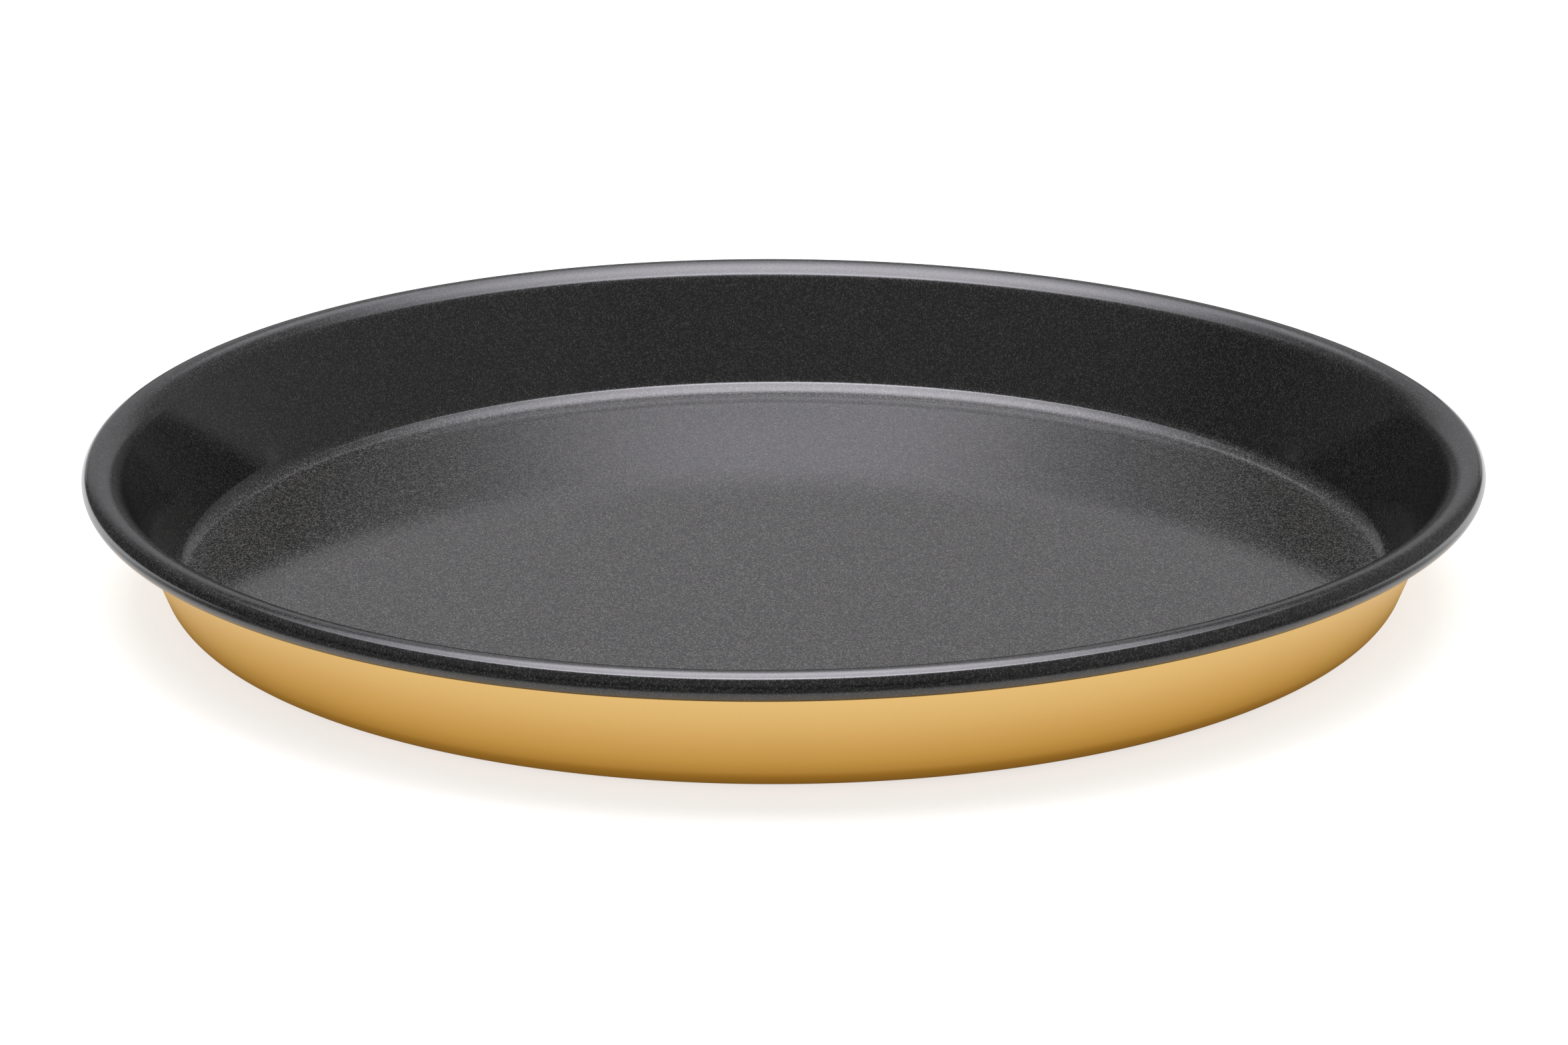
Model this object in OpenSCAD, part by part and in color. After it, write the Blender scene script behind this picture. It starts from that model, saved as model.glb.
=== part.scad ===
// Round baking pan, drawn from one steel disc: a flat floor, a rounded corner, a flared wall and a
// rim rolled outwards round a wire. Non-stick coating covers the inside and the outside of the
// roll, and golden lacquer covers the outside and runs up into the roll.
// The origin is the centre of the underside, and +Z is up.

/* [Pan] */
// Diameter over the rolled rim
rim_d = 300; // [240:1:360]
// Height from the underside to the top of the rim
pan_h = 30.5; // [24:0.5:60]
// Lean of the wall, in degrees from upright
wall_lean = 21; // [5:1:35]
// Inside radius of the corner between floor and wall
corner_r = 5.5; // [3:0.5:9]

/* [Sheet and coatings] */
// Thickness of the steel sheet
sheet_t = 0.6; // [0.4:0.05:0.9]
// Thickness of the non-stick coating
nonstick_t = 0.1; // [0.08:0.01:0.2]
// Thickness of the golden lacquer
lacquer_t = 0.1; // [0.08:0.01:0.2]

/* [Rim] */
// Outside radius of the roll
roll_r = 3; // [2.4:0.1:3.6]
// Outside radius of the bend from the wall to the top of the rim
bend_r = 6; // [5:0.5:9]
// How far round the sheet is rolled, in degrees from the top of the rim
roll_turn = 270; // [180:5:285]
// Clearance between the wire and the inside of the roll
wire_gap = 0.15; // [0.05:0.05:0.4]

/* [Hidden] */
$fn = 180;

// Largest turn between two points of an arc, in degrees
arc_step = 7.5;

// The sheet with both coatings on
wall_t = nonstick_t + sheet_t + lacquer_t;

// Centre of the roll. The bend has its centre right below, so the two meet at the top of the rim.
roll_x = rim_d / 2 - roll_r;
roll_z = pan_h - roll_r;

// The wire fills the roll but for its clearance
wire_r = roll_r - wall_t - wire_gap;

// Height of the straight stretch of the wall, from the corner to the bend
wall_h = pan_h - wall_t - (bend_r + corner_r) * (1 - sin(wall_lean));

// Radius of the flat floor: what the roll, the bend, the leaning wall and the corner leave
floor_r = roll_x - (bend_r + corner_r) * cos(wall_lean) - wall_h * tan(wall_lean);

// Points on an arc from one angle to another, or past the first of them
function arc(centre, r, from, to, first = 0) =
    let (steps = ceil(abs(to - from) / arc_step))
    [for (i = [first:steps]) let (a = from + (to - from) * i / steps)
        centre + r * [cos(a), sin(a)]];

// Half section of the pan from its axis to the cut edge in the roll, at a depth below the surface
// that food touches. Every depth has as many points, so neighbouring layers meet face to face.
function section_line(depth) = concat(
    [[0, wall_t - depth]],
    arc([floor_r, wall_t + corner_r], corner_r + depth, -90, -wall_lean),
    arc([roll_x, pan_h - bend_r], bend_r - depth, 180 - wall_lean, 90),
    arc([roll_x, roll_z], roll_r - depth, 90, 90 - roll_turn, 1)
);

function reversed(points) = [for (i = [len(points) - 1:-1:0]) points[i]];

// A layer of the sheet between two depths
module layer(near, far) {
    rotate_extrude()
        polygon(concat(section_line(near), reversed(section_line(far))));
}

module steel_shell() {
    color("silver") layer(nonstick_t, nonstick_t + sheet_t);
}

module inner_coating() {
    color([0.22, 0.22, 0.24]) layer(0, nonstick_t);
}

module outer_coating() {
    color([0.84, 0.68, 0.40]) layer(nonstick_t + sheet_t, wall_t);
}

module rim_wire() {
    color("gainsboro")
        rotate_extrude()
            translate([roll_x, roll_z]) circle(r = wire_r);
}

steel_shell();
inner_coating();
outer_coating();
rim_wire();
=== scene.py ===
import bpy
import numpy as np
from math import cos, pi, radians, sin, tan
from mathutils import Matrix, Vector


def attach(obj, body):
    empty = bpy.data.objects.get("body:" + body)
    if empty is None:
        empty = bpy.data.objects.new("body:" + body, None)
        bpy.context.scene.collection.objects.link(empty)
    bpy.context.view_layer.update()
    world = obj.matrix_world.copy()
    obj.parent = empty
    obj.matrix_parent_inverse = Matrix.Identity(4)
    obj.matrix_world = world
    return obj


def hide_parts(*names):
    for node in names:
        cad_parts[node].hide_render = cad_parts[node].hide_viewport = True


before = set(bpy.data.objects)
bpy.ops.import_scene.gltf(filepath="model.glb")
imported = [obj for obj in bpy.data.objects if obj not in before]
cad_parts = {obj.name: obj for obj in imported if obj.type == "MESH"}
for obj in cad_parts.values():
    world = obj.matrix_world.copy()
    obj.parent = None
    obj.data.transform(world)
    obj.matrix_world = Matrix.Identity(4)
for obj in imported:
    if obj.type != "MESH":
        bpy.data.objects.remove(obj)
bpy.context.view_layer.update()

# The pan's own measures in metres and degrees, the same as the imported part's
pan = {
    "rimDiameter": 0.300, "height": 0.0305, "wallLean": 21.0, "cornerRadius": 0.0055,
    "sheet": 0.0006, "nonStick": 0.0001, "lacquer": 0.0001,
    "rollRadius": 0.003, "bendRadius": 0.006, "rollTurn": 270.0, "wireGap": 0.00015,
    "rimSag": 0.0007, "baseLift": 0.0003,   # the sheet is out of flat by this much either way
    "segments": 360,        # steps round the pan
    "arcStep": 5.0,         # degrees between two rings on a bend
    "floorRings": 26, "wallRings": 18,      # rings on the flat floor and on the straight wall
}
wallThickness = pan["nonStick"] + pan["sheet"] + pan["lacquer"]
rimRadius = pan["rimDiameter"] / 2
rollCentre = np.array([rimRadius - pan["rollRadius"], pan["height"] - pan["rollRadius"]])
wireRadius = pan["rollRadius"] - wallThickness - pan["wireGap"]


# Points on a circle's arc: centre plus radius times cosine and sine of the angle
def arc(centre, radius, start, end):
    count = int(np.ceil(abs(end - start) / pan["arcStep"])) + 1
    angle = np.radians(np.linspace(start, end, count))
    return np.stack([centre[0] + radius * np.cos(angle), centre[1] + radius * np.sin(angle)], 1)


# A straight stretch between two points, without its ends: the first point plus a share of the way.
# The share is half of one minus a cosine, so the points lie closer together near both ends.
def stretch(first, last, count):
    share = ((1 - np.cos(np.linspace(0, pi, count))) / 2)[1:-1, None]
    return first + (last - first) * share


# Half section from the axis to the cut edge in the roll, at a depth below the food side:
# flat floor, corner, leaning wall, bend over the top, then the roll
def sectionLine(depth):
    lean = pan["wallLean"]
    bend, corner = pan["bendRadius"], pan["cornerRadius"]
    wallHeight = pan["height"] - wallThickness - (bend + corner) * (1 - sin(radians(lean)))
    floorRadius = rollCentre[0] - (bend + corner) * cos(radians(lean)) - wallHeight * tan(radians(lean))
    middle = np.array([[0.0, wallThickness - depth]])
    foot = arc((floorRadius, wallThickness + corner), corner + depth, -90, -lean)
    top = arc((rollCentre[0], pan["height"] - bend), bend - depth, 180 - lean, 90)
    roll = arc(rollCentre, pan["rollRadius"] - depth, 90, 90 - pan["rollTurn"])[1:]
    return np.concatenate([middle, stretch(middle[0], foot[0], pan["floorRings"]), foot,
                           stretch(foot[-1], top[0], pan["wallRings"]), top, roll])


# A layer of the sheet between two depths: out along one face and back along the other
def layerSection(near, far):
    return np.concatenate([sectionLine(near), sectionLine(far)[::-1]])


# Turns a closed section round the axis: x = r cos, y = r sin, z from the section.
# A point on the axis becomes one vertex, so the pole is closed.
def turned(section):
    count = pan["segments"]
    angle = np.linspace(0, 2 * pi, count, endpoint=False)
    onAxis = section[:, 0] < 1e-9
    starts = np.cumsum(np.where(onAxis, 1, count)) - np.where(onAxis, 1, count)
    rings = [np.stack([r * np.cos(angle), r * np.sin(angle), np.full(count, z)], 1) if not axis
             else np.array([[0.0, 0.0, z]]) for (r, z), axis in zip(section, onAxis)]
    index = np.where(onAxis[:, None], starts[:, None], starts[:, None] + np.arange(count))
    below, above = index, np.roll(index, -1, 0)
    faces = np.stack([below, np.roll(below, -1, 1), np.roll(above, -1, 1), above], -1).reshape(-1, 4)
    return np.concatenate(rings), faces


# The drawn sheet is a little saddle-shaped. Both shifts grow with the squared distance from the
# axis and go round twice, as one plus or minus the sine of twice the angle: the rim sags towards
# the right back and left front, and the base lifts between them.
def outOfFlat(points):
    x, y, z = points.T
    share = np.clip(z / pan["height"], 0, 1)
    reach = (x**2 + y**2) / rimRadius ** 2
    twice = 2 * x * y / np.maximum(x**2 + y**2, 1e-12)
    shift = pan["baseLift"] * (1 - share) * (1 - twice) - pan["rimSag"] * share * (1 + twice)
    return np.stack([x, y, z + reach * shift], 1)


# Puts a surface into a new mesh object. A face that meets the axis loses its doubled corner, and
# one that lies on it is left out.
def makePiece(name, points, faces):
    outlines = [[corner for i, corner in enumerate(face) if corner != face[i - 1]]
                for face in faces.tolist()]
    mesh = bpy.data.meshes.new(name)
    mesh.from_pydata(outOfFlat(points).tolist(), [], [outline for outline in outlines if len(outline) > 2])
    mesh.shade_smooth()
    mesh.validate()
    piece = bpy.data.objects.new(name, mesh)
    bpy.context.scene.collection.objects.link(piece)
    return piece


def finishPiece(piece, node, material):
    piece.data.materials.append(material)
    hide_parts(node)
    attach(piece, "root")
    print("made", piece.name, "for", node, len(piece.data.polygons), "faces")


# A number on its way through the nodes: each operator adds the Math node that works it out
class Value:
    def __init__(self, graph, socket):
        self.graph, self.socket = graph, socket

    def math(self, operation, *inputs):
        return self.graph.node("ShaderNodeMath", {"operation": operation}, dict(enumerate(inputs)))

    def __add__(self, other): return self.math("ADD", self, other)
    def __radd__(self, other): return self.math("ADD", other, self)
    def __sub__(self, other): return self.math("SUBTRACT", self, other)
    def __rsub__(self, other): return self.math("SUBTRACT", other, self)
    def __mul__(self, other): return self.math("MULTIPLY", self, other)
    def __rmul__(self, other): return self.math("MULTIPLY", other, self)
    def __truediv__(self, other): return self.math("DIVIDE", self, other)
    def __rtruediv__(self, other): return self.math("DIVIDE", other, self)
    def __pow__(self, other): return self.math("POWER", self, other)
    def __rpow__(self, other): return self.math("POWER", other, self)
    def __gt__(self, other): return self.math("GREATER_THAN", self, other)
    def __lt__(self, other): return self.math("LESS_THAN", self, other)
    def __neg__(self): return self.math("MULTIPLY", self, -1.0)


# The nodes of one material or world
class Graph:
    def __init__(self, owner):
        owner.use_nodes = True
        self.tree = owner.node_tree
        self.tree.nodes.clear()

    # Adds a node of a type, sets its settings first, then its sockets by name or number
    def node(self, kind, settings=None, sockets=None, output=0):
        made = self.tree.nodes.new(kind)
        for key, setting in (settings or {}).items():
            if key == "stops":
                ramp = made.color_ramp.elements
                while len(ramp) < len(setting):
                    ramp.new(0.5)
                for stop, (place, colour) in zip(ramp, setting):
                    stop.position, stop.color = place, (*colour, 1.0)
            else:
                setattr(made, key, setting)
        for key, given in (sockets or {}).items():
            socket = made.inputs[key]
            if isinstance(given, Value):
                self.tree.links.new(given.socket, socket)
            else:
                socket.default_value = given
        return Value(self, made.outputs[output]) if len(made.outputs) else made

    # A place on the object, and the three parts of a place or a direction
    def place(self):
        return self.node("ShaderNodeTexCoord", output="Object")

    def parts(self, vector):
        made = self.node("ShaderNodeSeparateXYZ", None, {0: vector})
        return [Value(self, part) for part in made.socket.node.outputs]

    # A smooth step from 0 to 1 as the value goes between two limits
    def step(self, value, low, high):
        return self.node("ShaderNodeMapRange", {"interpolation_type": "SMOOTHSTEP"},
                         {"Value": value, "From Min": low, "From Max": high})

    # The Mix node's colours are its sockets 6 and 7 and its output 2
    def mixColour(self, share, first, second):
        return self.node("ShaderNodeMix", {"data_type": "RGBA"}, {0: share, 6: first, 7: second}, 2)

    # A colour that follows stops between two limits of a value, and a plain level that does so
    def colours(self, value, limits, stops):
        share = (value - limits[0]) / (limits[1] - limits[0])
        return self.node("ShaderNodeValToRGB", {"stops": stops}, {0: share})

    def ramp(self, value, limits, stops):
        made = self.colours(value, limits, [(at, (level,) * 3) for at, level in stops])
        return self.node("ShaderNodeSeparateColor", None, {0: made})

    def noise(self, place, scale, detail):
        return self.node("ShaderNodeTexNoise", None, {"Vector": place, "Scale": scale, "Detail": detail})

    # A fine cell pattern: the distance from a cell's middle, and a random level for each cell
    def cells(self, place, scale, output="Distance"):
        return self.node("ShaderNodeTexVoronoi", None, {"Vector": place, "Scale": scale}, output)

    def cellLevel(self, place, scale):
        return self.node("ShaderNodeSeparateColor", None, {0: self.cells(place, scale, "Color")})

    def bump(self, height, distance, strength):
        return self.node("ShaderNodeBump", None,
                         {"Strength": strength, "Distance": distance, "Height": height})

    def output(self, shader, kind="ShaderNodeOutputMaterial"):
        self.node(kind, None, {"Surface": shader})


def newGraph(name):
    material = bpy.data.materials.new(name)
    return material, Graph(material)


# In the looks, a Noise is a scale and a detail, and a Bump is a distance in metres and a strength.
# Charcoal non-stick coating: a dark satin skin, finely pebbled, with pale specks that are
# strongest on the flat floor and fainter on the wall, and duller on the bend.
nonStickLook = {
    "dark": (0.007, 0.007, 0.0072, 1), "index": 1.7, "pebbleNoise": (3600.0, 1.0), "pebbleBump": (4e-6, 1.0),
    "speck": (0.215, 0.209, 0.20, 1), "speckScale": 4300.0, "speckPower": 3.3, "speckRoughness": 0.05,
    "wallHeights": (0.0012, 0.004), "wallShare": 0.36,      # the wall keeps this share of the specks
    "fleck": (0.30, 0.295, 0.285, 1), "fleckScale": 3000.0, "fleckShare": 0.03, "fleckEdge": (0.1, 0.35),
    "roughness": 0.10, "bendRoughness": 0.17, "bendHeights": (0.022, 0.028),
    "rollReach": (0.1470, 0.1485), "rollShare": 0.55,       # the bead's outer side is this much less dull
}


def nonStickMaterial():
    look = nonStickLook
    material, graph = newGraph("charcoalNonStick")
    place = graph.place()
    x, y, height = graph.parts(place)
    onRoll = graph.step((x * x + y * y) ** 0.5, *look["rollReach"])
    bend = graph.step(height, *look["bendHeights"]) * (1 - look["rollShare"] * onRoll)
    pick = graph.cellLevel(place, look["speckScale"])
    share = look["wallShare"] + (1 - look["wallShare"]) * (1 - graph.step(height, *look["wallHeights"]))
    colour = graph.mixColour(share * pick ** look["speckPower"], look["dark"], look["speck"])
    inFleck = 1 - graph.step(graph.cells(place, look["fleckScale"]), *look["fleckEdge"])
    fleck = (graph.cellLevel(place, look["fleckScale"]) > 1 - look["fleckShare"]) * inFleck
    pebble = graph.noise(place, *look["pebbleNoise"])
    roughness = look["roughness"] + look["speckRoughness"] * (pick - 0.5)
    graph.output(graph.node("ShaderNodeBsdfPrincipled", None, {
        "Base Color": graph.mixColour(fleck, colour, look["fleck"]), "IOR": look["index"],
        "Normal": graph.bump(pebble, *look["pebbleBump"]),
        "Roughness": roughness + (look["bendRoughness"] - look["roughness"]) * bend}))
    return material


# Golden lacquer: a satin metallic yellow, a little cloudy and finely grained
lacquerLook = {
    "colour": (0.90, 0.66, 0.28, 1), "deep": (0.86, 0.61, 0.24, 1), "roughness": 0.27,
    "cloudNoise": (60.0, 3.0), "cloudShare": 0.12, "cloudRoughness": 0.05,
    "grainNoise": (2400.0, 1.0), "grainShare": 0.25, "grainBump": (2e-5, 0.2),
}


def lacquerMaterial():
    look = lacquerLook
    material, graph = newGraph("goldenLacquer")
    place = graph.place()
    cloud = graph.noise(place, *look["cloudNoise"])
    grain = graph.noise(place, *look["grainNoise"])
    deep = look["cloudShare"] * cloud + look["grainShare"] * grain
    graph.output(graph.node("ShaderNodeBsdfPrincipled", None, {
        "Base Color": graph.mixColour(deep, look["colour"], look["deep"]), "Metallic": 1.0,
        "Roughness": look["roughness"] + look["cloudRoughness"] * (cloud - 0.5),
        "Normal": graph.bump(grain, *look["grainBump"])}))
    return material


# Bare drawn steel with a fine grain of scratches, which is stretched upwards on the wire
steelLook = {
    "colour": (0.56, 0.56, 0.57, 1), "dull": (0.40, 0.40, 0.41, 1), "roughness": 0.34,
    "scratchNoise": (1800.0, 3.0), "scratchRoughness": 0.2, "scratchBump": (1e-5, 0.3),
}


def steelMaterial(name, stretchBy):
    look = steelLook
    material, graph = newGraph(name)
    drawn = graph.node("ShaderNodeMapping", None, {"Vector": graph.place(), "Scale": stretchBy})
    scratch = graph.noise(drawn, *look["scratchNoise"])
    graph.output(graph.node("ShaderNodeBsdfPrincipled", None, {
        "Base Color": graph.mixColour(scratch, look["dull"], look["colour"]), "Metallic": 1.0,
        "Roughness": look["roughness"] + look["scratchRoughness"] * (scratch - 0.5),
        "Normal": graph.bump(scratch, *look["scratchBump"])}))
    return material


sheetStart = pan["nonStick"]
sheetEnd = pan["nonStick"] + pan["sheet"]
finishPiece(makePiece("inner_coating_skin", *turned(layerSection(0, sheetStart))),
            "inner_coating", nonStickMaterial())
finishPiece(makePiece("outer_coating_skin", *turned(layerSection(sheetEnd, wallThickness))),
            "outer_coating", lacquerMaterial())
finishPiece(makePiece("steel_shell_sheet", *turned(layerSection(sheetStart, sheetEnd))),
            "steel_shell", steelMaterial("drawnSheetSteel", (1, 1, 1)))
finishPiece(makePiece("rim_wire_hoop", *turned(arc(rollCentre, wireRadius, 0, 360)[:-1])),
            "rim_wire", steelMaterial("drawnWireSteel", (1, 1, 0.2)))

# The camera stands as in the photograph, from a fit to the pan's outlines. Its distance and its
# shifts are in rim radii, its elevation and roll in radians.
view = {
    "distance": 7.2365, "elevation": 0.3182, "roll": 0.0028, "right": -0.0002, "up": -0.0687,
    "focalPixels": 7500.0, "frameWidth": 2352.0, "sensorWidth": 36.0, "clip": (0.01, 50.0),
}


def makeCamera():
    back = Vector((0, -cos(view["elevation"]), sin(view["elevation"])))
    right = Vector((1, 0, 0))
    up = right.cross(-back)
    turn = Matrix.Rotation(view["roll"], 3, -back)
    right, up = turn @ right, turn @ up
    away, aside, above = [view[key] * rimRadius for key in ("distance", "right", "up")]
    place = back * away - aside * right - above * up
    data = bpy.data.cameras.new("camera")
    data.sensor_width = view["sensorWidth"]
    data.lens = view["focalPixels"] * view["sensorWidth"] / view["frameWidth"]
    data.clip_start, data.clip_end = view["clip"]
    camera = bpy.data.objects.new("camera", data)
    axes = Matrix((right, up, back)).transposed().to_4x4()
    camera.matrix_world = Matrix.Translation(place) @ axes
    bpy.context.scene.collection.objects.link(camera)
    bpy.context.scene.camera = camera


makeCamera()
print("camera in place")


def stagePiece(name, corners, material):
    mesh = bpy.data.meshes.new(name)
    mesh.from_pydata(corners, [], [(0, 1, 2, 3)])
    mesh.materials.append(material)
    piece = bpy.data.objects.new(name, mesh)
    bpy.context.scene.collection.objects.link(piece)
    return piece


# Leaves a stage piece in reflections alone
def onlyMirrored(piece):
    piece.visible_camera = piece.visible_diffuse = piece.visible_shadow = False
    piece.visible_transmission = False


# The four corners of a level sheet
def square(left, right, front, back, height):
    return [(left, front, height), (right, front, height), (right, back, height), (left, back, height)]


# White paper a little below the foot. It glows for the camera, so it stays white further out.
paper = {
    "size": 8.0, "drop": 0.0001, "colour": (0.9, 0.9, 0.9, 1),
    "glow": 0.70, "farGlow": 0.30, "farReach": (0.5, 1.6),
    # What reflections see of it from the pan's foot outwards, a painted reflection: a painted shadow round
    # the foot, tinged golden as painted bounce light from the lacquer, then white and brighter further out
    "paintedShadowSpan": (0.12, 0.32),
    "paintedShadowStops": [(0.04, (0.15, 0.083, 0.019)), (0.07, (0.35, 0.225, 0.072)), (0.09, (0.62, 0.46, 0.23)),
                    (0.11, (0.73, 0.57, 0.38)), (0.135, (0.85, 0.73, 0.60)), (0.16, (0.93, 0.84, 0.75)),
                    (0.19, (1.0, 0.93, 0.90)), (0.275, (1.07, 1.07, 1.07)), (0.65, (1.35, 1.37, 1.40))],
    # Out from this reach and forward of this y, reflections see it darker by this share: painted shade where
    # the lit table ends
    "tableReach": (0.165, 0.20), "tableFront": (-0.10, 0.05), "tableShade": 0.87,
}


def makeFloor():
    material, graph = newGraph("whitePaperAndPaintedShadow")
    seen = graph.node("ShaderNodeLightPath", output="Is Camera Ray")
    mirrored = graph.node("ShaderNodeLightPath", output="Is Glossy Ray")
    x, y = graph.parts(graph.place())[:2]
    reach = (x * x + y * y) ** 0.5
    # Where reflections see the painted shade: out from the pan and in front of it
    front = graph.step(reach, *paper["tableReach"]) * (1 - graph.step(y, *paper["tableFront"]))
    sheet = graph.node("ShaderNodeBsdfDiffuse", None, {"Color": paper["colour"]})
    glow = graph.node("ShaderNodeEmission", None, {
        "Strength": seen * (paper["glow"] + paper["farGlow"] * graph.step(reach, *paper["farReach"]))})
    # Seen only in reflections: a painted shadow round the foot with painted golden bounce light, and painted
    # shade in front where the lit table ends
    paintedShadowGlow = graph.node("ShaderNodeEmission", None, {
        "Color": graph.colours(reach, paper["paintedShadowSpan"], paper["paintedShadowStops"]),
        "Strength": 1 - paper["tableShade"] * front})
    plain = graph.node("ShaderNodeAddShader", None, {0: sheet, 1: glow})
    graph.output(graph.node("ShaderNodeMixShader", None, {0: mirrored, 1: plain, 2: paintedShadowGlow}))
    half = paper["size"] / 2
    stagePiece("floor", square(-half, half, -half, half, -paper["drop"]), material)


# The soft box lights the pan at a plain level, and nothing mirrors it
softBox = {"place": (0.0, 0.05, 0.75), "size": (0.95, 0.85), "power": 5.6}


def makeSoftBox():
    lamp = bpy.data.lights.new("softBox", "AREA")
    lamp.shape, lamp.size, lamp.size_y = "RECTANGLE", *softBox["size"]
    lamp.energy = softBox["power"]
    box = bpy.data.objects.new("softBox", lamp)
    box.location = softBox["place"]
    box.visible_glossy = False
    bpy.context.scene.collection.objects.link(box)


# The bright diffuser is what the satin coating mirrors. Its front edge is an arc of a circle.
# Brightness is the peak times the stops, which run back from that edge, times a bell across.
diffuser = {
    "height": 0.752, "front": -0.4, "back": 1.6, "centre": 0.312, "radius": 0.6626,
    "tint": (1.0, 0.975, 1.06, 1), "peak": 10.3,
    # The bell's half width at the edge, what it loses a metre back from there, and its least
    "middle": -0.03, "halfWidth": 0.60, "widthLoss": 0.43, "leastWidth": 0.19, "bellPower": 1.25,
    "span": (-0.05, 1.60),
    "stops": [(0.0, 0.0), (0.030, 0.05), (0.045, 0.40), (0.058, 0.90), (0.068, 1.0), (0.085, 1.0),
              (0.103, 0.66), (0.133, 0.52), (0.182, 0.50), (0.242, 0.51), (0.35, 0.53), (0.394, 0.513),
              (0.455, 0.455), (0.515, 0.386), (0.576, 0.297), (0.636, 0.23), (0.697, 0.178),
              (0.758, 0.142), (0.83, 0.11), (0.94, 0.08), (1.0, 0.0)],
}


# One in the middle and falling off to the sides: e to the minus of the square to a power
def bell(value, power):
    return 2.718 ** (-1.0 * (value * value) ** power)


def makeDiffuser():
    material, graph = newGraph("diffuserCloth")
    x, y = graph.parts(graph.place())[:2]
    radius = diffuser["radius"]
    chord = graph.node("ShaderNodeMath", {"operation": "SQRT", "use_clamp": True}, {0: radius ** 2 - x * x})
    behind = y - (diffuser["centre"] - chord)
    spread = diffuser["halfWidth"] - diffuser["widthLoss"] * behind
    width = spread.math("MAXIMUM", spread, diffuser["leastWidth"])
    across = bell((x - diffuser["middle"]) / width, diffuser["bellPower"])
    level = graph.ramp(behind, diffuser["span"], diffuser["stops"]) * across
    glow = graph.node("ShaderNodeEmission", None, {
        "Color": diffuser["tint"], "Strength": diffuser["peak"] * level})
    clear = graph.node("ShaderNodeBsdfTransparent")
    graph.output(graph.node("ShaderNodeAddShader", None, {0: glow, 1: clear}))
    cloth = square(-radius, radius, diffuser["front"], diffuser["back"], diffuser["height"])
    onlyMirrored(stagePiece("diffuser", cloth, material))


# A low pale board stands behind the pan at either side, and the rim's ends mirror it
boards = {"glow": 0.5, "back": 0.20, "reach": (0.185, 0.26), "heights": (0.028, 0.060)}


def makeBoards():
    material, graph = newGraph("paleBoard")
    graph.output(graph.node("ShaderNodeEmission", None, {"Strength": boards["glow"]}))
    back, (near, far), (low, high) = boards["back"], boards["reach"], boards["heights"]
    for side, name in ((-1, "leftBoard"), (1, "rightBoard")):
        onlyMirrored(stagePiece(name, [(side * near, back, low), (side * far, back, low),
                                       (side * far, back, high), (side * near, back, high)], material))


# The room is white where the camera looks. Otherwise it is dark, with a paler ceiling, right wall
# and back wall, and a low left wall beside the pan and behind it. Each comes in as a direction's
# part to the right, left, back or up goes between two limits.
room = {
    "white": (1, 1, 1, 1), "dark": (0.085, 0.085, 0.087, 1),
    "ceiling": (0.23, 0.23, 0.235, 1), "ceilingUp": (0.1, 0.5),
    "rightWall": (0.25, 0.25, 0.25, 1), "rightSide": (0.4, 0.7),
    "leftWall": (0.10, 0.10, 0.103, 1), "leftSide": (0.42, 0.6),
    "leftBack": (-0.3, 0.1), "leftTop": (0.45, 0.6),
    "backWall": (0.43, 0.42, 0.44, 1), "backSide": (0.80, 0.94), "backUp": (0.13, 0.20),
}


def makeRoom():
    world = bpy.data.worlds.new("room")
    bpy.context.scene.world = world
    graph = Graph(world)
    seen = graph.node("ShaderNodeLightPath", output="Is Camera Ray")
    right, back, up = graph.parts(graph.node("ShaderNodeTexCoord", output="Generated"))
    around = graph.mixColour(graph.step(up, *room["ceilingUp"]), room["dark"], room["ceiling"])
    around = graph.mixColour(graph.step(right, *room["rightSide"]), around, room["rightWall"])
    leftPart = graph.step(-right, *room["leftSide"]) * graph.step(back, *room["leftBack"])
    leftPart = leftPart * (1 - graph.step(up, *room["leftTop"]))
    around = graph.mixColour(leftPart, around, room["leftWall"])
    backPart = graph.step(back, *room["backSide"]) * graph.step(up, *room["backUp"])
    around = graph.mixColour(backPart, around, room["backWall"])
    graph.output(graph.node("ShaderNodeBackground", None, {
        "Color": graph.mixColour(seen, around, room["white"]), "Strength": 1.0}), "ShaderNodeOutputWorld")


makeFloor()
makeSoftBox()
makeDiffuser()
makeBoards()
makeRoom()
bpy.context.scene.view_settings.view_transform = "Standard"
print("studio in place")
